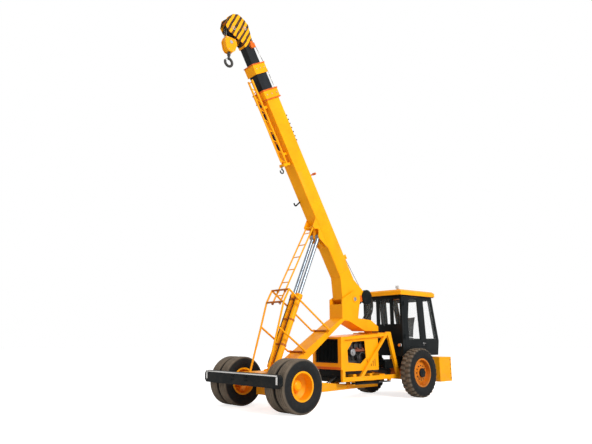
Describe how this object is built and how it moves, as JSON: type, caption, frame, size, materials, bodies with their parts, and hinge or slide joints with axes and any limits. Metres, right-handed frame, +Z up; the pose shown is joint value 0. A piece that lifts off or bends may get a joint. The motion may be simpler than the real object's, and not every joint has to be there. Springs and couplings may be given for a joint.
{
  "type": "mobile crane",
  "caption": "Articulated mobile crane with a telescopic boom on a gooseneck front frame, twin lift cylinders, a rear frame with engine bay and cab, and a hook block.",
  "frame": {"origin": "on the ground, under the middle of the whole machine's box, boom included", "axes": "+Z up, the front of the machine faces -Y, +X is the machine's own left (the side with the cab door)"},
  "size_m": [2.58, 7.24, 8.8497],
  "materials": {
    "yellow": "gloss",
    "orange": "gloss",
    "black": "satin",
    "dark_iron": "satin",
    "bright_steel": "polished",
    "rope": "satin",
    "tyre": "matte",
    "glass": "gloss",
    "seat_vinyl": "matte",
    "black_plastic": "matte",
    "lamp": "gloss"
  },
  "bodies": {
    "front_chassis": {"front_frame": "yellow", "front_axle": "orange", "bumper": "black", "boom_pin": "bright_steel", "lift_base_pin": "bright_steel", "guard_side_left": "yellow", "guard_side_right": "yellow", "guard_crossbars": "yellow"},
    "front_wheel_left": {"front_tyres_left": "tyre", "front_rims_left": "yellow"},
    "front_wheel_right": {"front_tyres_right": "tyre", "front_rims_right": "yellow"},
    "rear_chassis": {"rear_frame": "yellow", "chassis_rails": "black", "rear_axle": "orange", "engine_block": "dark_iron", "gearbox": "dark_iron", "radiator": "black", "nose_panel": "yellow", "grille": "black", "side_sheet_left": "yellow", "side_sheet_right": "yellow", "engine_top": "yellow", "belly_tank": "black", "air_cleaner": "black_plastic", "counterweight": "yellow", "cab_body": "black", "cab_floor": "black", "cab_roof": "yellow", "cab_glass": "glass", "seat": "seat_vinyl", "steering_column": "black_plastic", "dashboard": "black_plastic", "lamps": "lamp"},
    "rear_wheel_left": {"rear_tyre_left": "tyre", "rear_rim_left": "yellow"},
    "rear_wheel_right": {"rear_tyre_right": "tyre", "rear_rim_right": "yellow"},
    "boom": {"boom_base": "yellow", "fly_jib": "yellow", "jib_hook": "dark_iron"},
    "winch": {"winch_drum": "yellow"},
    "second_section": {"boom_stage_2": "black", "stage_2_collar": "yellow"},
    "third_section": {"boom_stage_3": "black", "boom_head": "yellow", "head_sheaves": "dark_iron"},
    "rope_falls": {"hoist_falls": "rope"},
    "hoist_block": {"hook_block": "yellow"},
    "crane_hook": {"hook": "dark_iron"},
    "cylinder_barrels": {"lift_barrels": "yellow"},
    "cylinder_rods": {"lift_rods": "bright_steel"},
    "ladder": {"guard_ladder": "yellow"},
    "door": {"cab_door": "black", "door_glass": "glass"},
    "steering_barrel_left": {"steer_barrel_left": "black"},
    "steering_barrel_right": {"steer_barrel_right": "black"},
    "steering_rod_left": {"steer_rod_left": "bright_steel"},
    "steering_rod_right": {"steer_rod_right": "bright_steel"}
  },
  "joints": [
    {"name": "steer", "type": "hinge", "parent": "front_chassis", "child": "rear_chassis", "pos_m": [0, 1.14999, 0.47], "axis": [0, 0, 1], "range_deg": [-35, 35]},
    {"name": "front_wheel_left_spin", "type": "hinge", "parent": "front_chassis", "child": "front_wheel_left", "pos_m": [1.136, -2.30001, 0.5275], "axis": [1, 0, 0], "continuous": true},
    {"name": "front_wheel_right_spin", "type": "hinge", "parent": "front_chassis", "child": "front_wheel_right", "pos_m": [-1.136, -2.30001, 0.5275], "axis": [1, 0, 0], "continuous": true},
    {"name": "rear_wheel_left_spin", "type": "hinge", "parent": "rear_chassis", "child": "rear_wheel_left", "pos_m": [0.84, 2.09999, 0.606], "axis": [1, 0, 0], "continuous": true},
    {"name": "rear_wheel_right_spin", "type": "hinge", "parent": "rear_chassis", "child": "rear_wheel_right", "pos_m": [-0.84, 2.09999, 0.606], "axis": [1, 0, 0], "continuous": true},
    {"name": "boom_luff", "type": "hinge", "parent": "front_chassis", "child": "boom", "pos_m": [0, 0.41999, 2.42], "axis": [1, 0, 0], "range_deg": [-4, 45]},
    {"name": "lift_barrels_swing", "type": "hinge", "parent": "front_chassis", "child": "cylinder_barrels", "pos_m": [0, -2.10001, 0.72], "axis": [1, 0, 0], "range_deg": [-0.6, 4.66]},
    {"name": "lift_rods_slide", "type": "slide", "parent": "cylinder_barrels", "child": "cylinder_rods", "axis": [0, 0.4001, 0.9165], "range_m": [-1.4118, 0.1273]},
    {"name": "guard_ladder_slide", "type": "slide", "parent": "front_chassis", "child": "ladder", "axis": [0, 0.4844, 0.8748], "range_m": [-1.6509, 0.1486]},
    {"name": "winch_turn", "type": "hinge", "parent": "boom", "child": "winch", "pos_m": [0, 0.925, 2.50003], "axis": [1, 0, 0], "continuous": true},
    {"name": "second_section_slide", "type": "slide", "parent": "boom", "child": "second_section", "axis": [0, -0.515, 0.8572], "range_m": [-0.25, 3]},
    {"name": "third_section_slide", "type": "slide", "parent": "second_section", "child": "third_section", "axis": [0, -0.515, 0.8572], "range_m": [-0.25, 3]},
    {"name": "hook_swing", "type": "hinge", "parent": "third_section", "child": "rope_falls", "pos_m": [0, -3.39997, 8.44003], "axis": [-1, 0, 0], "range_deg": [-6, 50]},
    {"name": "hook_hoist", "type": "slide", "parent": "rope_falls", "child": "hoist_block", "axis": [0, 0, -1], "range_m": [0, 2.5], "deforming": ["hoist_falls"]},
    {"name": "hook_swivel", "type": "hinge", "parent": "hoist_block", "child": "crane_hook", "pos_m": [0, -3.43547, 7.85003], "axis": [0, 0, 1], "continuous": true},
    {"name": "door_open", "type": "hinge", "parent": "rear_chassis", "child": "door", "pos_m": [0.6645, 1.83999, 1.5], "axis": [0, 0, -1], "range_deg": [0, 80]},
    {"name": "steer_barrel_left_swing", "type": "hinge", "parent": "front_chassis", "child": "steering_barrel_left", "pos_m": [0.345, 0.14999, 0.41], "axis": [0, 0, 1], "range_deg": [-7.59, 7.59]},
    {"name": "steer_rod_left_slide", "type": "slide", "parent": "steering_barrel_left", "child": "steering_rod_left", "axis": [0.0678, 0.9977, 0], "range_m": [-0.2489, 0.2489]},
    {"name": "steer_barrel_right_swing", "type": "hinge", "parent": "front_chassis", "child": "steering_barrel_right", "pos_m": [-0.345, 0.14999, 0.41], "axis": [0, 0, 1], "range_deg": [-7.59, 7.59]},
    {"name": "steer_rod_right_slide", "type": "slide", "parent": "steering_barrel_right", "child": "steering_rod_right", "axis": [-0.0678, 0.9977, 0], "range_m": [-0.2489, 0.2489]}
  ],
  "couplings": [
    {"joint": "lift_barrels_swing", "follows": "boom_luff", "ratio": 0.09902},
    {"joint": "lift_rods_slide", "follows": "boom_luff", "m_per_rad": -1.795},
    {"joint": "guard_ladder_slide", "follows": "boom_luff", "m_per_rad": -2.0994},
    {"joint": "steer_barrel_left_swing", "follows": "steer", "ratio": 0.21108},
    {"joint": "steer_rod_left_slide", "follows": "steer", "m_per_rad": 0.40411},
    {"joint": "steer_barrel_right_swing", "follows": "steer", "ratio": 0.21108},
    {"joint": "steer_rod_right_slide", "follows": "steer", "m_per_rad": -0.40411}
  ]
}
